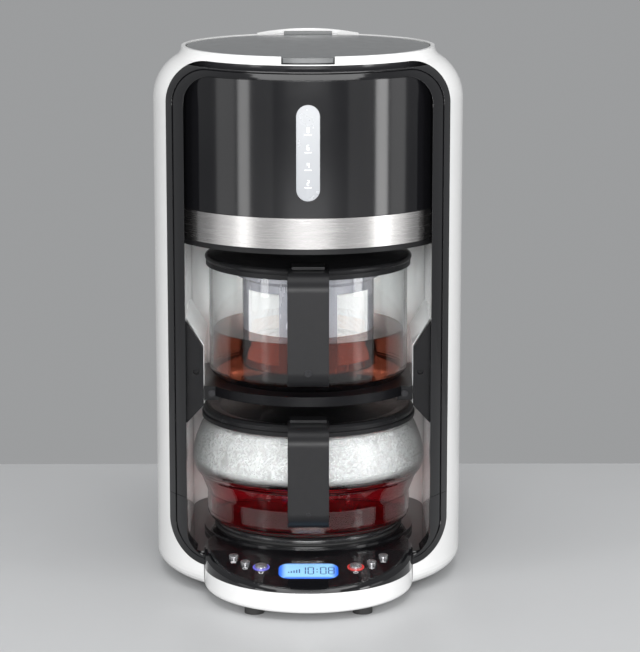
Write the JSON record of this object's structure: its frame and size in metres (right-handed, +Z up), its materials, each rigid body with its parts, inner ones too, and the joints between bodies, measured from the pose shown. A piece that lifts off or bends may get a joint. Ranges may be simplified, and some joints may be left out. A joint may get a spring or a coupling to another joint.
{
  "type": "automatic tea maker",
  "caption": "Automatic tea maker: round water tank over a brewing jug with a tea filter on a shelf, above a serving jug on a hot plate behind a sloping control panel.",
  "frame": {"origin": "centre of the outer box at the bottom, on the surface the feet stand on", "axes": "+Z up, front towards -Y, +X to the right as seen from the front"},
  "size_m": [0.224, 0.261, 0.3907],
  "materials": {
    "shell_white": "gloss",
    "recess_white": "gloss",
    "black_gloss": "gloss",
    "black_satin": "satin",
    "lid_grey": "satin",
    "gauge_clear": "gloss",
    "tank_smoke": "gloss",
    "band_steel": "brushed",
    "screw_steel": "plain",
    "heater_metal": "plain",
    "plate_black": "satin",
    "inner_plastic": "plain",
    "coil_copper": "plain",
    "seal_rubber": "matt",
    "valve_red": "matt",
    "display_blue": "lit",
    "board_green": "plain",
    "ring_violet": "lit",
    "ring_red": "lit",
    "button_silver": "silver",
    "jug_glass": "clear",
    "filter_smoke": "clear"
  },
  "bodies": {
    "body": {"shell_left": "shell_white", "shell_right": "shell_white", "shell_rear": "shell_white", "hinge_cover": "shell_white", "hinge_pin": "screw_steel", "bezel_upper": "black_gloss", "bezel_foot_left": "black_gloss", "bezel_foot_right": "black_gloss", "tank_front": "black_gloss", "gauge_window": "gauge_clear", "steel_band": "band_steel", "water_tank": "tank_smoke", "tank_rim": "tank_smoke", "tank_base": "black_satin", "tank_heater": "heater_metal", "tank_valve": "inner_plastic", "spray_head": "inner_plastic", "recess_liner": "recess_white", "arm_left": "black_gloss", "arm_right": "black_gloss", "brew_shelf": "black_gloss", "shelf_screws": "screw_steel", "valve_housing": "black_gloss", "valve_magnet": "coil_copper", "drip_nozzle": "inner_plastic", "front_skirt": "shell_white", "control_deck": "black_gloss", "plate_seal": "seal_rubber", "hot_plate": "plate_black", "plate_heater": "heater_metal", "plate_sensor": "inner_plastic", "display_window": "display_blue", "display_module": "board_green", "program_ring": "ring_violet", "start_ring": "ring_red", "control_board": "board_green", "base_plate": "inner_plastic", "base_screws": "screw_steel", "feet": "seal_rubber", "cord_gland": "seal_rubber"},
    "tank_lid": {"tank_lid": "lid_grey"},
    "menu_button": {"menu_button": "button_silver"},
    "time_button": {"time_button": "button_silver"},
    "program_button": {"program_button": "button_silver"},
    "start_button": {"start_button": "button_silver"},
    "plus_button": {"plus_button": "button_silver"},
    "minus_button": {"minus_button": "button_silver"},
    "brew_jug": {"brew_glass": "jug_glass", "brew_collar": "black_satin", "brew_handle": "black_satin", "brew_handle_screw": "screw_steel", "brew_valve_seat": "inner_plastic"},
    "brew_valve": {"brew_valve_plunger": "valve_red"},
    "brew_lid": {"brew_lid": "black_satin"},
    "tea_filter": {"tea_filter": "filter_smoke"},
    "serve_jug": {"serve_glass": "jug_glass", "serve_collar": "black_satin", "serve_handle": "black_satin", "serve_handle_screw": "screw_steel"},
    "serve_lid": {"serve_lid": "black_satin"}
  },
  "joints": [
    {"name": "tank_lid_hinge", "type": "hinge", "parent": "body", "child": "tank_lid", "pos_m": [0, 0.101, 0.386], "axis": [-1, 0, 0], "range_deg": [0, 95]},
    {"name": "menu_press", "type": "slide", "parent": "body", "child": "menu_button", "axis": [0, 0.1736, -0.9848], "range_m": [0, 0.001], "stiffness_N_per_m": 500, "springref_m": -0.0008},
    {"name": "time_press", "type": "slide", "parent": "body", "child": "time_button", "axis": [0, 0.1736, -0.9848], "range_m": [0, 0.001], "stiffness_N_per_m": 500, "springref_m": -0.0008},
    {"name": "program_press", "type": "slide", "parent": "body", "child": "program_button", "axis": [0, 0.1736, -0.9848], "range_m": [0, 0.001], "stiffness_N_per_m": 500, "springref_m": -0.0008},
    {"name": "start_press", "type": "slide", "parent": "body", "child": "start_button", "axis": [0, 0.1736, -0.9848], "range_m": [0, 0.001], "stiffness_N_per_m": 500, "springref_m": -0.0008},
    {"name": "plus_press", "type": "slide", "parent": "body", "child": "plus_button", "axis": [0, 0.1736, -0.9848], "range_m": [0, 0.001], "stiffness_N_per_m": 500, "springref_m": -0.0008},
    {"name": "minus_press", "type": "slide", "parent": "body", "child": "minus_button", "axis": [0, 0.1736, -0.9848], "range_m": [0, 0.001], "stiffness_N_per_m": 500, "springref_m": -0.0008},
    {"name": "brew_jug_out", "type": "slide", "parent": "body", "child": "brew_jug", "axis": [0, -1, 0], "range_m": [0, 0.24]},
    {"name": "brew_valve_lift", "type": "slide", "parent": "brew_jug", "child": "brew_valve", "axis": [0, 0, 1], "range_m": [0, 0.0022]},
    {"name": "brew_lid_lift", "type": "slide", "parent": "brew_jug", "child": "brew_lid", "axis": [0, 0, 1], "range_m": [0, 0.0055]},
    {"name": "filter_turn", "type": "hinge", "parent": "brew_lid", "child": "tea_filter", "pos_m": [0, 0.0105, 0.2295], "axis": [0, 0, 1], "range_deg": [0, 30]},
    {"name": "serve_jug_out", "type": "slide", "parent": "body", "child": "serve_jug", "axis": [0, -1, 0], "range_m": [0, 0.24]},
    {"name": "serve_lid_lift", "type": "slide", "parent": "serve_jug", "child": "serve_lid", "axis": [0, 0, 1], "range_m": [0, 0.0045]}
  ]
}
